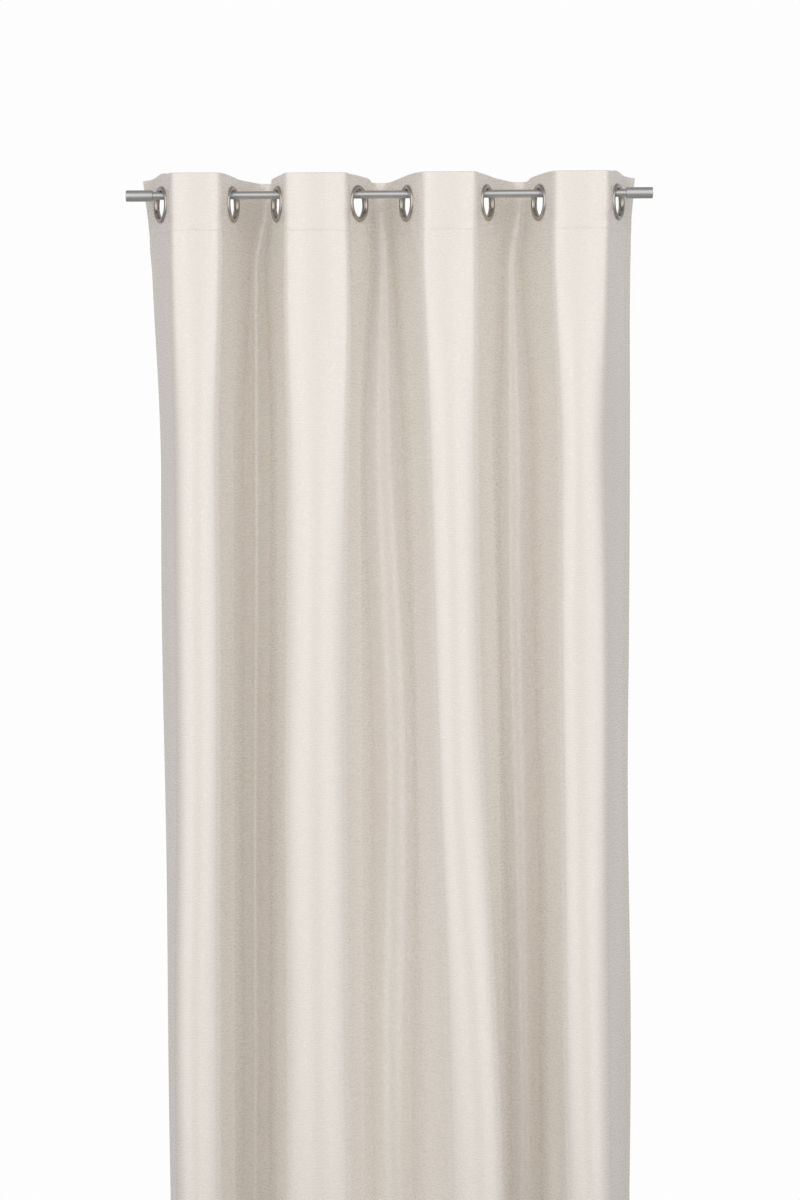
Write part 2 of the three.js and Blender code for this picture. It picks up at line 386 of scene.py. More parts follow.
def blackened_steel():
    finish = Finish("blackened_steel", Metallic=1.0)
    place = finish.add("ShaderNodeTexCoord", {}, None, "Object")
    grain = finish.noise(place, (1500, 1500, 1500), 3.0)
    return finish.feed(
        Base_Color=finish.mixed(grain, (0.05, 0.048, 0.045, 1), (0.14, 0.135, 0.13, 1)),
        Roughness=0.35 + grain * 0.2,
        Normal=finish.bump(grain, 0.00003),
    )


# ---- Turned pieces -------------------------------------------------------


def turned(name, profile, segments, material):
    """A closed body turned about X from (height, radius) points, as a smooth mesh."""
    mesh = bpy.data.meshes.new(name)
    shape = bmesh.new()
    rows = []
    for height, radius in profile:
        if radius < 1e-9:
            rows.append([shape.verts.new((height, 0, 0))])
            continue
        rows.append([
            shape.verts.new((
                height,
                radius * math.cos(2 * math.pi * step / segments),
                radius * math.sin(2 * math.pi * step / segments),
            ))
            for step in range(segments)
        ])
    closed = profile[0][1] > 1e-9
    pairs = list(zip(rows, rows[1:] + ([rows[0]] if closed else [])))
    for first, second in pairs if closed else pairs[:len(rows) - 1]:
        for step in range(segments):
            after = (step + 1) % segments
            corners = [
                first[step % len(first)], first[after % len(first)],
                second[after % len(second)], second[step % len(second)],
            ]
            kept = list(dict.fromkeys(corners))
            if len(kept) > 2:
                shape.faces.new(kept)
    bmesh.ops.recalc_face_normals(shape, faces=shape.faces)
    for face in shape.faces:
        face.smooth = True
    for edge in shape.edges:
        if len(edge.link_faces) == 2 and edge.calc_face_angle(0) > math.radians(35):
            edge.smooth = False
    shape.to_mesh(mesh)
    shape.free()
    mesh.materials.append(material)
    piece = bpy.data.objects.new(name, mesh)
    bpy.context.scene.collection.objects.link(piece)
    return piece


def placed(piece, matrix):
    piece.data.transform(matrix)
    if matrix.determinant() < 0:
        piece.data.flip_normals()
    return piece


def arc(centre, radius, start, end, steps):
    """(height, radius) points round a corner. The radius may be a pair of half widths."""
    wide, high = radius if isinstance(radius, tuple) else (radius, radius)
    points = []
    for step in range(steps + 1):
        turn = math.radians(start + (end - start) * step / steps)
        points.append((centre[0] + high * math.sin(turn), centre[1] + wide * math.cos(turn)))
    return points


class CURTAIN_OT_rod(bpy.types.Operator):
    """The rod tube, its two end caps and their grub screws"""

    bl_idname = "curtain.rod"
    bl_label = "Rod and end caps"

    def execute(self, context):
        settings = context.scene.curtain_rod
        steel = brushed_steel(settings)
        low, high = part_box("rod_tube")
        edge = 0.0003
        inner = settings.radius - settings.wall
        tube = turned("curtain_rod", [
            (low.x + edge, inner), (low.x, inner + edge), (low.x, settings.radius - edge),
            (low.x + edge, settings.radius), (-0.2, settings.radius), (0.0, settings.radius),
            (0.2, settings.radius), (high.x - edge, settings.radius),
            (high.x, settings.radius - edge), (high.x, inner + edge), (high.x - edge, inner),
            (0.2, inner), (0.0, inner), (-0.2, inner),
        ], 96, steel)
        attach(tube, "rod")
        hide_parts("rod_tube")
        for side, end in SCREWS.items():
            self.cap(side, end, settings, steel)
        return {"FINISHED"}

    def cap(self, side, end, settings, steel):
        low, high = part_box(f"end_cap_{side}")
        length, radius = high.x - low.x, high.z
        bore, rounding, mouth, floor = settings.radius + 0.0003, 0.0009, 0.0005, 0.004
        profile = [
            (length - floor, 0.0), (length - floor, bore - mouth), (length - floor - mouth, bore),
            (mouth, bore), *arc((mouth, bore + mouth), (mouth, mouth), 180, 270, 3),
            *arc((rounding, radius - rounding), rounding, -90, 0, 5),
            (length * 0.35, radius), (length * 0.65, radius),
            *arc((length - rounding, radius - rounding), rounding, 0, 90, 5),
            (length, radius * 0.5), (length, 0.0),
        ]
        shell = turned(f"end_cap_shell_{side}", profile, 96, steel)
        inner_face = high.x - length if end > 0 else low.x + length
        placed(shell, Matrix.Translation((inner_face, 0, 0)) @ Matrix.Diagonal((end, 1, 1, 1)))
        self.drill(shell, side)
        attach(shell, f"cap_{side}")
        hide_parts(f"end_cap_{side}")
        screw = frame["nodes"][f"grub_screw_{side}"]
        screw.data.materials.clear()
        screw.data.materials.append(blackened_steel())

    def drill(self, shell, side):
        """Cuts the grub screw's hole through the rear of a cap."""
        low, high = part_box(f"grub_screw_{side}")
        radius = (high.x - low.x) / 2 + 0.0003
        tool = turned("drill", [
            (0.0, 0.0), (0.0, radius), (0.012, radius), (0.012, 0.0),
        ], 48, shell.data.materials[0])
        middle = (low + high) / 2
        placed(tool, Matrix.Translation((middle.x, 0.002, middle.z))
               @ Matrix.Rotation(math.pi / 2, 4, "Z"))
        cutter = shell.modifiers.new("grub screw hole", "BOOLEAN")
        cutter.operation, cutter.object, cutter.solver = "DIFFERENCE", tool, "EXACT"
        bpy.context.view_layer.update()
        cut = bpy.data.meshes.new_from_object(
            shell.evaluated_get(bpy.context.evaluated_depsgraph_get())
        )
        shell.modifiers.clear()
        shell.data = cut
        bpy.data.objects.remove(tool)


class CURTAIN_OT_eyelets(bpy.types.Operator):
    """The front and back ring of each eyelet"""

    bl_idname = "curtain.eyelets"
    bl_label = "Eyelets"

    def execute(self, context):
        settings = context.scene.curtain_eyelets
        nickel = polished_nickel(settings)
        hole, rim, seat = settings.hole, settings.rim, RING_SEAT * MM
        wall, back_height, lip_height = 0.0012, 0.0018, 0.0032
        collar_end = seat + back_height
        waist = 0.0004
        for number, ring in enumerate(RINGS, 1):
            front = turned(f"eyelet_lip_{number}", [
                (waist, hole), (seat * 0.6, hole + 0.0002), (seat, hole + 0.0006),
                *arc((seat, hole + 0.0006 + (rim - 0.0006) / 2),
                     ((rim - 0.0006) / 2, lip_height), 180, 0, 18)[1:],
                *arc((seat, hole + rim - 0.0007), (0.0007, 0.0005), 0, -90, 3)[1:],
                (seat - 0.0005, hole + wall + 0.001), (seat - 0.0005, hole + wall),
                (-collar_end + 0.0004, hole + wall),
                (-collar_end, hole + wall - 0.0001),
                (-collar_end + 0.0002, hole + wall - 0.0005),
                (-collar_end * 0.7, hole + 0.0005), (-collar_end * 0.35, hole + 0.0001),
            ], 96, nickel)
            inside = hole + wall + 0.0003
            half = 0.00225
            back = turned(f"eyelet_washer_{number}", [
                *arc((-seat, inside + half), (half, back_height), 360, 180, 14),
                (-seat + 0.0001, inside + 0.0012), (-seat + 0.0001, inside + 0.0034),
            ], 96, nickel)
            side = -1 if number % 2 else 1
            turn = math.pi / 2 * 3 + side * ring["angle"]
            matrix = (Matrix.Translation((ring["x"] * MM, 0, ring["z"] * MM))
                      @ Matrix.Rotation(turn, 4, "Z"))
            for piece, node in ((front, "front"), (back, "back")):
                placed(piece, matrix)
                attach(piece, f"panel_{number}")
                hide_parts(f"eyelet_{node}_{number}")
        return {"FINISHED"}


# ---- The plan shape of the cloth -----------------------------------------


def solved(rises, low, high):
    for _ in range(40):
        middle = (low + high) / 2
        low, high = (middle, high) if rises(middle) < 0 else (low, middle)
    return (low + high) / 2


def smooth(value):
    value = np.clip(value, 0, 1)
    return value * value * (3 - 2 * value)


# Every crest of a wave, from the left: its lean from the middle of its two rings
# where the header holds it, how far it has moved along the rod at DRIFT_DEPTH,
# and the half widths of its flat front at the header and at that depth, in mm.
CRESTS = (
    {"lean": 0.0, "drift": -3.0, "flat": (27, 23)},
    {"lean": 15.0, "drift": -9.0, "flat": (1, 15)},
    {"lean": -2.0, "drift": -10.0, "flat": (40, 36)},
    {"lean": -4.0, "drift": 9.0, "flat": (2, 24)},
    {"lean": 5.0, "drift": 31.0, "flat": (29, 26)},
    {"lean": 13.0, "drift": 11.0, "flat": (1, 17)},
    {"lean": 4.0, "drift": 3.0, "flat": (31, 24)},
)
DRIFT_DEPTH = 1500.0
CREST_ROUNDNESS = 0.16       # in the header, and further down where the cloth is free
LOOSE_ROUNDNESS = 0.42
CORNER = 20.0                # cloth that turns from a flat crest to its flank
LOOSE_ANGLE = math.radians(73.0)
# Heights below the rod, and how far in the two sides hang there.
SIDE_DEPTHS = np.array([-30, 30, 62, 110, 200, 400, 700, 1500, 2500.0])
LEFT_SIDE = np.array([0, 0, 0, 1, 2, 5, 8, 12, 14.0])
RIGHT_SIDE = np.array([0, 0, 0, 1, 2, 3, 3, 11, 13.0])
# Depths below the rod, and the angles in degrees at which the two edges end there.
EDGE_DEPTHS = np.array([-30, -5, 30, 60, 110, 400, 1500, 2500.0])
LEFT_EDGE = np.array([30, 44, 62, 70, 76, 82, 88, 88.0])
RIGHT_EDGE = np.array([30, 40, 54, 58, 60, 62, 66, 66.0])
BLEND_HALF = 21.0            # cloth on each side of a crest, to the two points of crest_bend


def drift_share(depth):
    """How much of each crest's drift there is at a depth below the rod."""
    return np.clip(depth / DRIFT_DEPTH, 0, 1.12)


def flank(distance, length, angle, flat, extra, held, roundness):
    """The heading at distances from a ring towards a crest, as a positive angle.

    It is `angle` at the ring, and turns to run along the rod at the flat crest.
    `extra` steepens the flank beyond the cloth that the ring holds straight, and
    `roundness` is the share of the turn that is spread over the flat crest.
    """
    from_crest = length - distance
    corner = smooth((from_crest - flat) / CORNER)
    turn = roundness * np.clip(from_crest / flat, 0, 1) + (1 - roundness) * corner
    return turn * (angle + extra * smooth((distance - held) / 22))


def along(heading, length):
    """How far a stretch of cloth reaches along the rod, and away from it."""
    middles = (np.arange(TRACE_STEPS) + 0.5) * length / TRACE_STEPS
    angles = heading(middles)
    return np.cos(angles).mean() * length, np.sin(angles).mean() * length


def fitted_flank(length, angle, flat, held, span, roundness=CREST_ROUNDNESS):
    """A flank that reaches over its span of the rod."""
    extra = solved(
        lambda trial: span - along(
            lambda d: flank(d, length, angle, flat, trial, held, roundness), length,
        )[0],
        -1.4, 1.4,
    )
    return lambda distance: flank(distance, length, angle, flat, extra, held, roundness)


def crest_places():
    """Where each crest lies on the cloth, so that its two flanks meet at one depth."""
    places = []
    for index, crest in enumerate(CRESTS):
        left, right = RINGS[index], RINGS[index + 1]
        middle = (left["x"] + right["x"]) / 2 + crest["lean"]

        def depth(length, ring, span):
            shape = fitted_flank(length, ring["angle"], crest["flat"][0], RING_FLAT, span)
            return along(shape, length)[1]

        def unevenness(length):
            return (depth(length, left, middle - left["x"])
                    - depth(PITCH - length, right, right["x"] - middle))

        places.append(left["distance"] + solved(unevenness, 0.36 * PITCH, 0.64 * PITCH))
    return places


CREST_PLACES = crest_places()


class Sheet:
    """Places on the cloth as functions of the distance across it and the drop from its top."""

    STEP = 1.0
    ROW = 10.0

    def __init__(self, seed):
        self.across = np.arange(0, FLAT_WIDTH + self.STEP / 2, self.STEP)
        self.drops = np.arange(0, CLOTH_LENGTH + self.ROW, self.ROW)
        self.random = np.random.default_rng(seed)
        self.wobble = self.soft_wobble()
        rows = [self.row(number, drop) for number, drop in enumerate(self.drops)]
        self.x = np.array([r[0] for r in rows])
        self.y = np.array([r[1] for r in rows])
        self.heading = np.array([r[2] for r in rows])

    def soft_wobble(self):
        """Slow changes of heading, in radians."""
        total = np.zeros((len(self.drops), len(self.across)))
        for _ in range(30):
            wave = self.random.uniform(45, 190)
            drop_wave = self.random.uniform(600, 2600)
            lean = self.random.uniform(0, 2 * math.pi, 2)
            total += np.sin(2 * math.pi * self.across / wave + lean[0])[None, :] * np.sin(
                2 * math.pi * self.drops / drop_wave + lean[1]
            )[:, None] * (wave / 150)
        return total * math.radians(1.5)

    def row(self, number, drop):
        """x, y and heading along the cloth at one drop."""
        depth = drop - CLOTH_TOP
        free = float(smooth((drop - 66) / 380))
        eased = float(smooth((drop - 20) / 110))
        share = float(drift_share(depth))
        s = self.across
        rings = np.array([r["x"] for r in RINGS])
        crests = np.array([
            (rings[k] + rings[k + 1]) / 2 + c["lean"] * (1 - eased) + c["drift"] * share
            for k, c in enumerate(CRESTS)
        ])
        drifts = np.array([c["drift"] for c in CRESTS]) * share
        lines = rings.copy()
        lines[1:-1] += (drifts[:-1] + drifts[1:]) / 2
        lines[0] += np.interp(depth, SIDE_DEPTHS, LEFT_SIDE)
        lines[-1] -= np.interp(depth, SIDE_DEPTHS, RIGHT_SIDE)
        heading = np.zeros_like(s)
        for index, ring in enumerate(RINGS):
            angle = (1 - free) * ring["angle"] + free * LOOSE_ANGLE
            held = (1 - free) * RING_FLAT - free * 15
            side = -1 if index % 2 == 0 else 1
            for crest, way in ((index, 1), (index - 1, -1)):
                if not 0 <= crest < len(CRESTS):
                    self.edge(heading, ring["distance"], way, angle, depth, free)
                    continue
                first, last = CRESTS[crest]["flat"]
                flat = first + (last - first) * free
                length = (CREST_PLACES[crest] - ring["distance"]) * way
                shape = fitted_flank(
                    length, angle, flat, held, (crests[crest] - lines[index]) * way,
                    CREST_ROUNDNESS + (LOOSE_ROUNDNESS - CREST_ROUNDNESS) * free,
                )
                distance = (s - ring["distance"]) * way
                inside = (distance >= 0) & (distance <= length)
                heading[inside] = side * shape(distance[inside])
        heading += (0.12 + 0.88 * free) * self.away_from_rings(free) * self.wobble[number]
        heading += (0.35 + 0.35 * free) * self.pinch(eased)
        x, y = self.summed(np.cos(heading)), self.summed(np.sin(heading))
        places = [r["distance"] for r in RINGS]
        x += self.between_rings(s, lines - np.interp(places, s, x))
        y -= self.between_rings(s, np.interp(places, s, y))
        return x, y, heading

    def edge(self, heading, ring, way, angle, depth, free):
        """The side margin goes on from its ring, and curls outwards less further down."""
        ends = LEFT_EDGE if way < 0 else RIGHT_EDGE
        end = math.radians(np.interp(depth, EDGE_DEPTHS, ends))
        distance = (self.across - ring) * way
        inside = distance > 0
        curl = np.clip((distance[inside] - RING_FLAT) / (MARGIN - RING_FLAT), 0, 1)
        share = (1 - free) * curl + free * smooth(distance[inside] / MARGIN)
        heading[inside] = way * (angle + (end - angle) * share)

    def away_from_rings(self, free):
        """1 on free cloth, and 0 on what a ring holds flat."""
        nearest = np.min([np.abs(self.across - r["distance"]) for r in RINGS], axis=0)
        return free + (1 - free) * smooth((nearest - 26) / 14)

    def pinch(self, eased):
        """A sharp crease that stands in the narrowest wave behind the rod."""
        distance = (self.across - CREST_PLACES[1] + 2) / 7
        return -distance * np.exp(-distance * distance / 2) * eased

    def summed(self, slope):
        return np.concatenate([[0], np.cumsum((slope[1:] + slope[:-1]) / 2 * self.STEP)])

    def between_rings(self, s, values):
        places = np.array([r["distance"] for r in RINGS])
        index = np.clip(np.searchsorted(places, s) - 1, 0, RING_COUNT - 2)
        share = smooth((s - places[index]) / PITCH)
        values = np.asarray(values)
        return values[index] + (values[index + 1] - values[index]) * share

    def at(self, across, drop, field):
        """A field of the sheet at places between its rows and steps."""
        row = np.clip(drop / self.ROW, 0, len(self.drops) - 1.001)
        column = np.clip(across / self.STEP, 0, len(self.across) - 1.001)
        i, j = row.astype(int), column.astype(int)
        u, v = row - i, column - j
        return ((field[i, j] * (1 - v) + field[i, j + 1] * v) * (1 - u)
                + (field[i + 1, j] * (1 - v) + field[i + 1, j + 1] * v) * u)

    def points(self, across, drop, offset):
        """Points at an offset from the middle of the header towards the room, in metres."""
        across, drop, offset = (np.asarray(v, float) for v in (across, drop, offset))
        heading = self.at(across, drop, self.heading)
        relief = self.relief(across, drop) + offset
        return np.stack([
            self.at(across, drop, self.x) + relief * np.sin(heading),
            self.at(across, drop, self.y) - relief * np.cos(heading),
            CLOTH_TOP - drop - self.sag(across) * (1 - drop / CLOTH_LENGTH)
            + self.upturn(across, drop),
        ], -1) * MM

    def sag(self, across):
        """The cloth hangs a little lower at the crests, where no ring holds it up."""
        between = (across - MARGIN) / PITCH
        inside = (across > MARGIN) & (across < FLAT_WIDTH - MARGIN)
        return np.where(inside, CREST_SAG * np.sin(math.pi * between) ** 2, 0)

    def upturn(self, across, drop):
        """Nothing pulls the cloth down above the two end rings, so it stands up there."""
        near = sum(np.exp(-((across - RINGS[end]["distance"]) / 30) ** 2) for end in (0, -1))
        return END_UPTURN * near * (1 - smooth(drop / 13))

    def relief(self, across, drop):
        """Creases by the eyelets and puckers at the seams, towards the room, in mm."""
        total = np.zeros(np.broadcast(across, drop).shape)
        for index, ring in enumerate(RINGS):
            total += self.ring_creases(across - ring["distance"], drop - RING_DROP, index)
        seam = HEADER_DEPTH - SEAM_IN
        below = np.where(drop > seam, np.exp(-(drop - seam) / 34), np.exp(-(seam - drop) / 12))
        ripple = (np.sin(across / 2.3 + 2 * np.sin(across / 31))
                  + 0.8 * np.sin(across / 4.1 + 3 * np.sin(across / 57) + drop / 40))
        total += HEADER_PUCKER * ripple * below * (1 - np.exp(-((drop - seam) / 2.5) ** 2))
        total -= SEAM_SINK * np.exp(-((drop - seam) / 1.6) ** 2)
        hem = CLOTH_LENGTH - HEM_DEPTH + SEAM_IN
        near_hem = np.exp(-np.abs(drop - hem) / 20)
        total += HEM_PUCKER * ripple * near_hem - HEM_SINK * np.exp(-((drop - hem) / 1.8) ** 2)
        for side in SIDE_SEAMS:
            total -= SIDE_SINK * np.exp(-((across - side) / 1.6) ** 2)
            tugs = np.sin(drop / 5.2 + 2.5 * np.sin(drop / 61)) + np.sin(drop / 9.7)
            total += HEM_PUCKER * tugs * np.exp(-np.abs(across - side) / 7)
        return total

    def ring_creases(self, beside, below, index):
        """Soft drag lines that run down and outwards from a ring."""
        total = np.zeros(np.broadcast(beside, below).shape)
        for number, (turn, height, width) in enumerate(CREASES):
            lean = math.radians(turn + 7 * math.sin(3.1 * index + 1.7 * number))
            out = math.cos(lean), -math.sin(lean)
            outwards = beside * out[0] + below * out[1]
            aside = -beside * out[1] + below * out[0]
            size = height * (1 + 0.4 * math.sin(5.3 * index + 2.2 * number))
            grown = smooth((outwards - 27) / 16) * np.exp(-np.maximum(outwards - 40, 0) / 34)
            total += size * grown * np.exp(-(aside / width) ** 2)
        return total


BLOCK = 36.0                 # cloth round an eyelet that is meshed in a fan
BLOCK_STEP = 4.5
FAN_ROWS = 5


def even(low, high, step):
    count = max(1, int(round((high - low) / step)))
    return list(np.linspace(low, high, count + 1))


def joined(*lists):
    """Ascending numbers with no near doubles."""
    values = sorted(v for one in lists for v in one)
    return np.array([v for i, v in enumerate(values) if i == 0 or v - values[i - 1] > 0.05])


def cloth_columns(low, high, ring_low, ring_high):
    """Distances across one piece, between its two ends or rings."""
    inner_low = low + BLOCK if ring_low else low
    inner_high = high - BLOCK if ring_high else high
    lists = [even(inner_low, inner_high, 3.8)]
    if ring_low:
        lists.append(even(low, inner_low, BLOCK_STEP))
    if ring_high:
        lists.append(even(inner_high, high, BLOCK_STEP))
    if not (ring_low and ring_high):
        edge = low if ring_high else high
        inward = 1 if ring_high else -1
        lists.append([edge + inward * d for d in (0, 0.5, 1.4, 17, 18, 19, 20, 21, 22, 22.4)])
    return joined(*lists)


def cloth_drops():
    """Drops of the rows, closer at the edges and at the seams."""
    top, bottom = RING_DROP - BLOCK, RING_DROP + BLOCK
    hem = CLOTH_LENGTH - HEM_DEPTH
    return joined(
        [0, 0.4, 1.4], even(1.4, top, 2.3), even(top, bottom, BLOCK_STEP),
        even(bottom, 84, 2), even(84, 90, 1), [90.3], even(90.3, 120, 3),
        even(120, 200, 5), even(200, hem - 12, 8), even(hem - 12, hem - 0.4, 3),
        even(hem, hem + 8, 1), even(hem + 8, CLOTH_LENGTH - 1.4, 6),
        [CLOTH_LENGTH - 0.4, CLOTH_LENGTH],
    )


def offsets(across, drop):
    """The face and the back of the cloth, measured from the middle of the header."""
    back = np.where(drop <= HEADER_DEPTH, -FRONT_OF_CLOTH, DROP_BACK)
    back = np.where(drop >= CLOTH_LENGTH - HEM_DEPTH, HEM_BACK, back)
    side = np.minimum(across, FLAT_WIDTH - across)
    back = np.where(side <= SIDE_HEM, np.minimum(back, HEM_BACK), back)
    front = np.full(np.shape(back), FRONT_OF_CLOTH)
    from_edge = np.minimum(np.minimum(drop, CLOTH_LENGTH - drop), side)
    middle = (front + back) / 2
    round_off = np.sqrt(1 - (1 - np.clip(from_edge / 1.4, 0, 1)) ** 2) * 0.7 + 0.3
    return middle + (front - middle) * round_off, middle + (back - middle) * round_off


class Cloth:
    """A closed mesh of part of the sheet, between two distances across it."""

    def __init__(self, sheet, low, high, ring_low, ring_high, hole):
        self.sheet, self.hole = sheet, hole
        self.columns = cloth_columns(low, high, ring_low, ring_high)
        self.rows = cloth_drops()
        self.places, self.faces = [], []
        self.index = -np.ones((len(self.rows), len(self.columns)), int)
        skipped = np.zeros((len(self.rows) - 1, len(self.columns) - 1), bool)
        blocks = []
        if ring_low:
            blocks.append((low, 1))
        if ring_high:
            blocks.append((high, -1))
        top = self.nearest(self.rows, RING_DROP - BLOCK)
        bottom = self.nearest(self.rows, RING_DROP + BLOCK)
        for ring, way in blocks:
            start = self.nearest(self.columns, ring)
            stop = self.nearest(self.columns, ring + way * BLOCK)
            left, right = sorted((start, stop))
            skipped[top:bottom, left:right] = True
        for i in range(len(self.rows)):
            for j in range(len(self.columns)):
                around = [
                    skipped[a, b]
                    for a in (i - 1, i) for b in (j - 1, j)
                    if 0 <= a < skipped.shape[0] and 0 <= b < skipped.shape[1]
                ]
                if not all(around):
                    self.index[i, j] = self.place(self.columns[j], self.rows[i])
        for i in range(skipped.shape[0]):
            for j in range(skipped.shape[1]):
                if not skipped[i, j]:
                    self.faces.append((
                        self.index[i, j], self.index[i + 1, j],
                        self.index[i + 1, j + 1], self.index[i, j + 1],
                    ))
        for ring, way in blocks:
            self.fan(ring, way, top, bottom)

    def nearest(self, values, wanted):
        found = int(np.argmin(np.abs(values - wanted)))
        if abs(values[found] - wanted) > 0.01:
            raise RuntimeError(f"the cloth has no grid line at {wanted}")
        return found

    def place(self, across, drop):
        self.places.append((across, drop))
        return len(self.places) - 1

    def fan(self, ring, way, top, bottom):
        """Meshes the cloth between half an eyelet's hole and the grid around it."""
        start = self.nearest(self.columns, ring)
        stop = self.nearest(self.columns, ring + way * BLOCK)
        step = 1 if stop > start else -1
        rim = [(top, j) for j in range(start, stop, step)]
        rim += [(i, stop) for i in range(top, bottom)]
        rim += [(bottom, j) for j in range(stop, start, -step)]
        rim.append((bottom, start))
        lines = []
        for i, j in rim:
            outer = self.index[i, j]
            if outer < 0:
                outer = self.index[i, j] = self.place(self.columns[j], self.rows[i])
            far = np.array([self.columns[j] - ring, self.rows[i] - RING_DROP])
            near = far / np.linalg.norm(far) * self.hole
            line = [
                self.place(*(near + (far - near) * k / FAN_ROWS + (ring, RING_DROP)))
                for k in range(FAN_ROWS)
            ]
            lines.append(line + [outer])
        for one, other in zip(lines, lines[1:]):
            for k in range(FAN_ROWS):
                face = (one[k], one[k + 1], other[k + 1], other[k])
                self.faces.append(face if way > 0 else face[::-1])

    def made(self, name, material):
        """The closed mesh, with the distances on the cloth as its UV map."""
        places = np.array(self.places)
        across, drop = places[:, 0], places[:, 1]
        front, back = offsets(across, drop)
        points = np.concatenate([
            self.sheet.points(across, drop, front), self.sheet.points(across, drop, back),
        ])
        count = len(places)
        faces = [f for f in self.faces]
        faces += [tuple(count + v for v in reversed(f)) for f in self.faces]
        uses = {}
        for face in self.faces:
            for a, b in zip(face, face[1:] + face[:1]):
                uses[(a, b)] = uses.get((a, b), 0) + 1
        rims = [(a, b) for a, b in uses if (b, a) not in uses]
        faces += [(b, a, count + a, count + b) for a, b in rims]
        mesh = bpy.data.meshes.new(name)
        mesh.from_pydata(points.tolist(), [], [tuple(map(int, f)) for f in faces])
        mesh.validate()
        mesh.update()
        mesh.materials.append(material)
        layer = mesh.uv_layers.new(name="cloth")
        vertices = np.empty(len(mesh.loops), int)
        mesh.loops.foreach_get("vertex_index", vertices)
        flat = places[vertices % count] * MM
        layer.data.foreach_set("uv", flat.astype(np.float32).ravel())
        mesh.shade_smooth()
        piece = bpy.data.objects.new(name, mesh)
        bpy.context.scene.collection.objects.link(piece)
        mesh.set_sharp_from_angle(angle=math.radians(50))
        return piece


SHEET = None


def the_sheet(context):
    """The plan shape, worked out once."""
    global SHEET
    if SHEET is None:
        SHEET = Sheet(context.scene.curtain_cloth.seed)
    return SHEET


def crest_bend(index):
    """Two points on either side of a crest, leaning with the fold."""
    lean = -CRESTS[index]["drift"] / DRIFT_DEPTH
    middle = (RINGS[index]["x"] + RINGS[index + 1]["x"]) / 2 * MM
    width = BLEND_HALF * MM / (1 + lean * lean)
    half = Vector((width, 0, -width * lean))
    return Vector((middle, 0, 0)) - half, Vector((middle, 0, 0)) + half


def hung(piece, index):
    """Rides a piece at a side margin with its panel, and bakes the place of every other piece into
    its mesh.
    """
    if index == 0:
        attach(piece, "panel_1")
    elif index == RING_COUNT:
        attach(piece, f"panel_{RING_COUNT}")
    else:
        start, end = crest_bend(index - 1)
        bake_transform(piece)


def piece_ends(index):
    """The distances across the cloth between which a piece lies. Piece 0 is the left margin."""
    places = [0.0, *(r["distance"] for r in RINGS), FLAT_WIDTH]
    return places[index], places[index + 1]


class CURTAIN_OT_cloth(bpy.types.Operator):
    """The curtain's cloth, one piece for each wave and one for each side margin"""

    bl_idname = "curtain.cloth"
    bl_label = "Cloth"

    def execute(self, context):
        settings = context.scene.curtain_cloth
        material = satin_cloth(settings)
        sheet = the_sheet(context)
        hole = context.scene.curtain_eyelets.hole / MM + 1.5
        for index in range(RING_COUNT + 1):
            low, high = piece_ends(index)
            name = ("curtain_left_margin" if index == 0 else
                    "curtain_right_margin" if index == RING_COUNT else f"curtain_wave_{index}")
            cloth = Cloth(sheet, low, high, index > 0, index < RING_COUNT, hole)
            piece = cloth.made(name, material)
            hung(piece, index)
            panels = [p for p in (index, index + 1) if 1 <= p <= RING_COUNT]
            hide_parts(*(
                f"{node}_{panel}" for panel in panels for node in ("header", "header_tape", "drop")
            ))
            (high - low) * MM
        return {"FINISHED"}


# ---- Stitches ------------------------------------------------------------


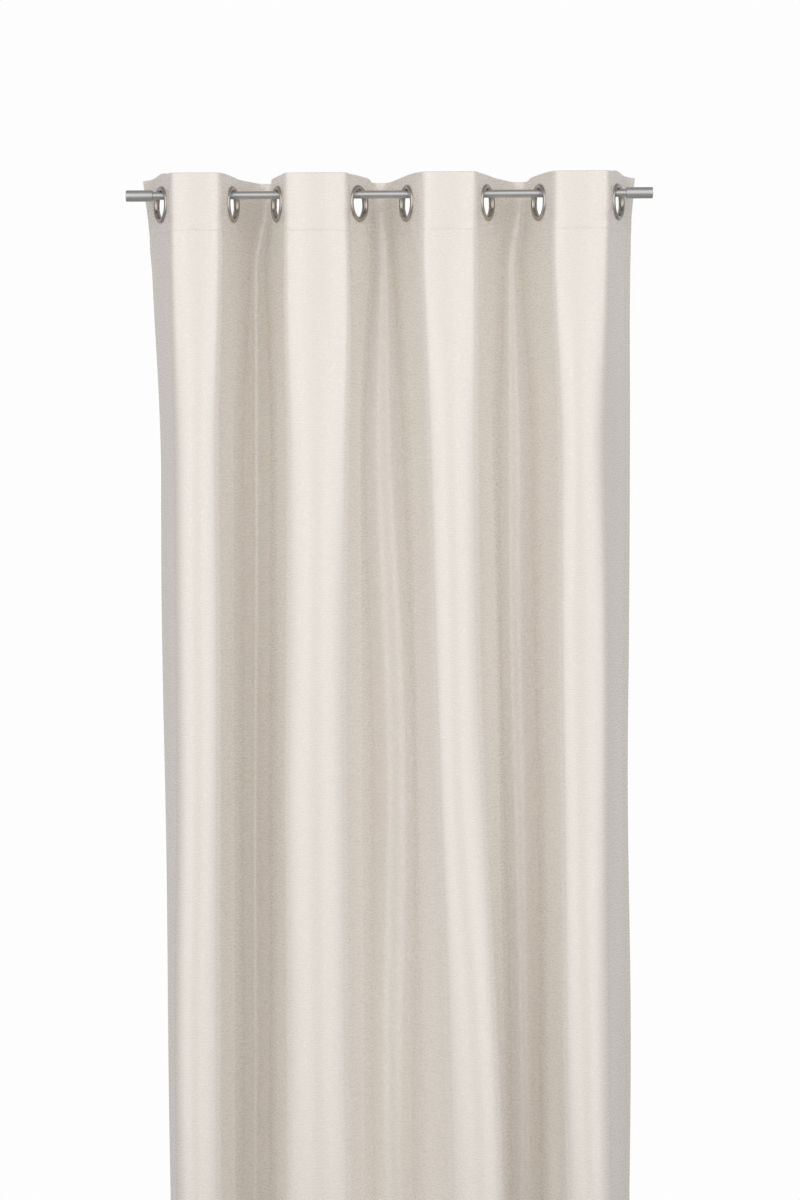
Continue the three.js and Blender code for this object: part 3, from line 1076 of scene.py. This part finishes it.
def stitch_tree(material):
    """Geometry nodes that lay thread capsules end to end along a line."""
    tree = bpy.data.node_groups.new("stitch_row", "GeometryNodeTree")
    face = tree.interface
    face.new_socket("Line", in_out="INPUT", socket_type="NodeSocketGeometry")
    sockets = {}
    for name in ("Pitch", "Length", "Radius"):
        sockets[name] = face.new_socket(name, in_out="INPUT", socket_type="NodeSocketFloat")
    sockets["Seed"] = face.new_socket("Seed", in_out="INPUT", socket_type="NodeSocketInt")
    face.new_socket("Stitches", in_out="OUTPUT", socket_type="NodeSocketGeometry")
    nodes, links = tree.nodes, tree.links
    start, end = nodes.new("NodeGroupInput"), nodes.new("NodeGroupOutput")
    curve = nodes.new("GeometryNodeMeshToCurve")
    resample = nodes.new("GeometryNodeResampleCurve")
    resample.mode = "LENGTH"
    tangent = nodes.new("GeometryNodeInputTangent")
    align = nodes.new("FunctionNodeAlignRotationToVector")
    align.axis = "X"
    ball = nodes.new("GeometryNodeMeshUVSphere")
    ball.inputs["Segments"].default_value = 6
    ball.inputs["Rings"].default_value = 4
    ball.inputs["Radius"].default_value = 1.0
    size = nodes.new("ShaderNodeCombineXYZ")
    half = nodes.new("ShaderNodeMath")
    half.operation = "MULTIPLY"
    half.inputs[1].default_value = 0.5
    vary = nodes.new("FunctionNodeRandomValue")
    vary.data_type = "FLOAT"
    vary.inputs["Min"].default_value = 0.88
    vary.inputs["Max"].default_value = 1.08
    scaled = nodes.new("ShaderNodeVectorMath")
    scaled.operation = "SCALE"
    place = nodes.new("GeometryNodeInstanceOnPoints")
    realize = nodes.new("GeometryNodeRealizeInstances")
    paint = nodes.new("GeometryNodeSetMaterial")
    paint.inputs["Material"].default_value = material
    smooth_faces = nodes.new("GeometryNodeSetShadeSmooth")
    for source, given, target, taken in (
        (start, "Line", curve, "Mesh"),
        (curve, "Curve", resample, "Curve"),
        (start, "Pitch", resample, "Length"),
        (resample, "Curve", place, "Points"),
        (ball, "Mesh", place, "Instance"),
        (tangent, "Tangent", align, "Vector"),
        (align, "Rotation", place, "Rotation"),
        (start, "Length", half, 0),
        (half, 0, size, "X"),
        (start, "Radius", size, "Y"),
        (start, "Radius", size, "Z"),
        (size, 0, scaled, 0),
        (start, "Seed", vary, "Seed"),
        (vary, 1, scaled, "Scale"),
        (scaled, 0, place, "Scale"),
        (place, "Instances", realize, "Geometry"),
        (realize, "Geometry", smooth_faces, "Geometry"),
        (smooth_faces, "Geometry", paint, "Geometry"),
        (paint, "Geometry", end, "Stitches"),
    ):
        links.new(source.outputs[given], target.inputs[taken])
    return tree, {name: socket.identifier for name, socket in sockets.items()}


def seam_lines(index):
    """Lines of stitching on one piece, as distances across and drops."""
    low, high = piece_ends(index)
    left = max(low, 2.0)
    right = min(high, FLAT_WIDTH - 2.0)
    across = np.array(even(left, right, 2.0))
    lines = [
        (across, np.full(len(across), HEADER_DEPTH - SEAM_IN)),
        (across, np.full(len(across), CLOTH_LENGTH - HEM_DEPTH + SEAM_IN)),
    ]
    for side in SIDE_SEAMS:
        if low <= side <= high:
            drops = np.array(even(2.0, CLOTH_LENGTH - 2.0, 4.0))
            lines.append((np.full(len(drops), side), drops))
    return lines


class CURTAIN_OT_stitches(bpy.types.Operator):
    """The rows of stitches at the header, the bottom hem and the side hems"""

    bl_idname = "curtain.stitches"
    bl_label = "Stitches"

    def execute(self, context):
        settings = context.scene.curtain_stitches
        sheet = the_sheet(context)
        tree, names = stitch_tree(sewing_thread(context.scene.curtain_cloth))
        for index in range(RING_COUNT + 1):
            points, edges = [], []
            for across, drop in seam_lines(index):
                first = len(points)
                points += sheet.points(across, drop, FRONT_OF_CLOTH + 0.12).tolist()
                edges += [(k, k + 1) for k in range(first, len(points) - 1)]
            mesh = bpy.data.meshes.new("seam")
            mesh.from_pydata(points, edges, [])
            piece = bpy.data.objects.new(f"curtain_stitches_{index + 1}", mesh)
            context.scene.collection.objects.link(piece)
            rows = piece.modifiers.new("stitches", "NODES")
            rows.node_group = tree
            for name, value in (
                ("Pitch", settings.pitch), ("Length", settings.length),
                ("Radius", settings.radius), ("Seed", 11 + index),
            ):
                rows[names[name]] = value
            context.view_layer.update()
            made = bpy.data.meshes.new_from_object(
                piece.evaluated_get(context.evaluated_depsgraph_get())
            )
            piece.modifiers.clear()
            piece.data = made
            made.name = piece.name
            hung(piece, index)
        return {"FINISHED"}


# ---- Stage ---------------------------------------------------------------


def lamp(name, place, target, size, power, colour=(1, 1, 1)):
    """A rectangular soft light that faces a point."""
    data = bpy.data.lights.new(name, "AREA")
    data.shape, data.size, data.size_y = "RECTANGLE", size[0], size[1]
    data.energy, data.color = power, colour
    light = bpy.data.objects.new(name, data)
    light.location = place
    light.rotation_euler = (Vector(target) - Vector(place)).to_track_quat("-Z", "Y").to_euler()
    bpy.context.scene.collection.objects.link(light)
    return light


class CURTAIN_OT_stage(bpy.types.Operator):
    """A pale floor, soft studio light and the camera"""

    bl_idname = "curtain.stage"
    bl_label = "Stage"

    def execute(self, context):
        settings = context.scene.curtain_stage
        scene = context.scene
        scene.view_settings.view_transform = "Standard"
        self.camera(scene)
        self.floor(settings)
        self.world(scene)
        lamp("key", (-0.3, -4.4, 0.7), (0, 0, -0.2), (4.4, 2.6), settings.key_power)
        return {"FINISHED"}

    def camera(self, scene):
        data = bpy.data.cameras.new("camera")
        data.lens, data.sensor_width = 96.0, 36.0
        camera = bpy.data.objects.new("camera", data)
        camera.location = (0.012, -4.8, -0.6085)
        camera.rotation_euler = (math.radians(90), 0, 0)
        camera.rotation_euler.rotate_axis("Z", math.radians(-0.37))
        scene.collection.objects.link(camera)
        scene.camera = camera

    def floor(self, settings):
        mesh = bpy.data.meshes.new("floor")
        shape = bmesh.new()
        bmesh.ops.create_circle(
            shape, cap_ends=True, radius=settings.floor_radius, segments=128,
        )
        shape.to_mesh(mesh)
        shape.free()
        mesh.transform(Matrix.Translation((0, 0, CAD_BOX[0].z - 0.02)))
        finish = Finish("pale_floor", Roughness=0.8)
        place = finish.add("ShaderNodeTexCoord", {}, None, "Object")
        grain = finish.noise(place, (3, 3, 3), 3.0)
        mesh.materials.append(finish.feed(
            Base_Color=finish.mixed(grain, (0.6, 0.6, 0.59, 1), (0.64, 0.64, 0.63, 1)),
        ))
        floor = bpy.data.objects.new("floor", mesh)
        bpy.context.scene.collection.objects.link(floor)

    def world(self, scene):
        """A white tent with a soft box on each side of the front, seen as plain white."""
        world = bpy.data.worlds.new("studio")
        world.use_nodes = True
        scene.world = world
        nodes, links = world.node_tree.nodes, world.node_tree.links
        nodes.clear()

        def node(kind, **settings):
            made = nodes.new(kind)
            for name, value in settings.items():
                setattr(made, name, value)
            return made

        direction = node("ShaderNodeTexCoord")
        apart = node("ShaderNodeSeparateXYZ")
        links.new(direction.outputs["Generated"], apart.inputs[0])

        def share(socket, low, high):
            ranged = node("ShaderNodeMapRange", interpolation_type="SMOOTHSTEP")
            links.new(socket, ranged.inputs[0])
            ranged.inputs[1].default_value, ranged.inputs[2].default_value = low, high
            return ranged.outputs[0]

        def product(one, other):
            times = node("ShaderNodeMath", operation="MULTIPLY")
            links.new(one, times.inputs[0])
            links.new(other, times.inputs[1])
            return times.outputs[0]

        def mixed(share, first, second):
            mix = node("ShaderNodeMix", data_type="RGBA")
            links.new(share, mix.inputs[0])
            if isinstance(first, bpy.types.NodeSocket):
                links.new(first, mix.inputs[6])
            else:
                mix.inputs[6].default_value = first
            mix.inputs[7].default_value = second
            return mix.outputs[2]

        sideways = node("ShaderNodeMath", operation="ABSOLUTE")
        links.new(apart.outputs["X"], sideways.inputs[0])
        front = share(apart.outputs["Y"], -0.15, -0.5)
        low, high = share(apart.outputs["Z"], -0.75, 0.1), share(apart.outputs["Z"], 0.85, 0.5)
        tent = product(front, product(low, high))
        boxes = product(
            tent,
            product(share(sideways.outputs[0], 0.12, 0.4), share(sideways.outputs[0], 0.9, 0.7)),
        )
        colour = mixed(boxes, mixed(tent, TENT_SIDES, TENT_FRONT), SOFT_BOXES)
        colour = mixed(share(apart.outputs["Y"], 0.5, 0.9), colour, TENT_BACK)
        fill, seen = node("ShaderNodeBackground"), node("ShaderNodeBackground")
        links.new(colour, fill.inputs[0])
        seen.inputs[0].default_value = BACKDROP
        ray, camera = node("ShaderNodeLightPath"), node("ShaderNodeMixShader")
        output = node("ShaderNodeOutputWorld")
        links.new(ray.outputs["Is Camera Ray"], camera.inputs[0])
        links.new(fill.outputs[0], camera.inputs[1])
        links.new(seen.outputs[0], camera.inputs[2])
        links.new(camera.outputs[0], output.inputs[0])


class CURTAIN_PT_panel(bpy.types.Panel):
    """Lists the curtain's sizes and pieces"""

    bl_idname = "CURTAIN_PT_panel"
    bl_label = "Eyelet Curtain"
    bl_space_type = "VIEW_3D"
    bl_region_type = "UI"
    bl_category = "Curtain"

    def draw(self, context):
        for name, kind in SETTINGS.items():
            box = self.layout.box()
            for prop in kind.__annotations__:
                box.prop(getattr(context.scene, name), prop)
        for operator in OPERATORS:
            self.layout.operator(operator.bl_idname)


SETTINGS = {
    "curtain_stage": StageSettings,
    "curtain_rod": RodSettings,
    "curtain_eyelets": EyeletSettings,
    "curtain_cloth": ClothSettings,
    "curtain_stitches": StitchSettings,
}
OPERATORS = (
    CURTAIN_OT_stage, CURTAIN_OT_rod, CURTAIN_OT_eyelets, CURTAIN_OT_cloth, CURTAIN_OT_stitches,
)


def register():
    for kind in (*SETTINGS.values(), *OPERATORS, CURTAIN_PT_panel):
        bpy.utils.register_class(kind)
    for name, kind in SETTINGS.items():
        setattr(bpy.types.Scene, name, PointerProperty(type=kind))


def unregister():
    for name in SETTINGS:
        delattr(bpy.types.Scene, name)
    for kind in (CURTAIN_PT_panel, *reversed(OPERATORS), *SETTINGS.values()):
        bpy.utils.unregister_class(kind)


def main():
    register()
    for operator in ("stage", "rod", "eyelets", "cloth", "stitches"):
        getattr(bpy.ops.curtain, operator)()


if __name__ == "__main__":
    main()
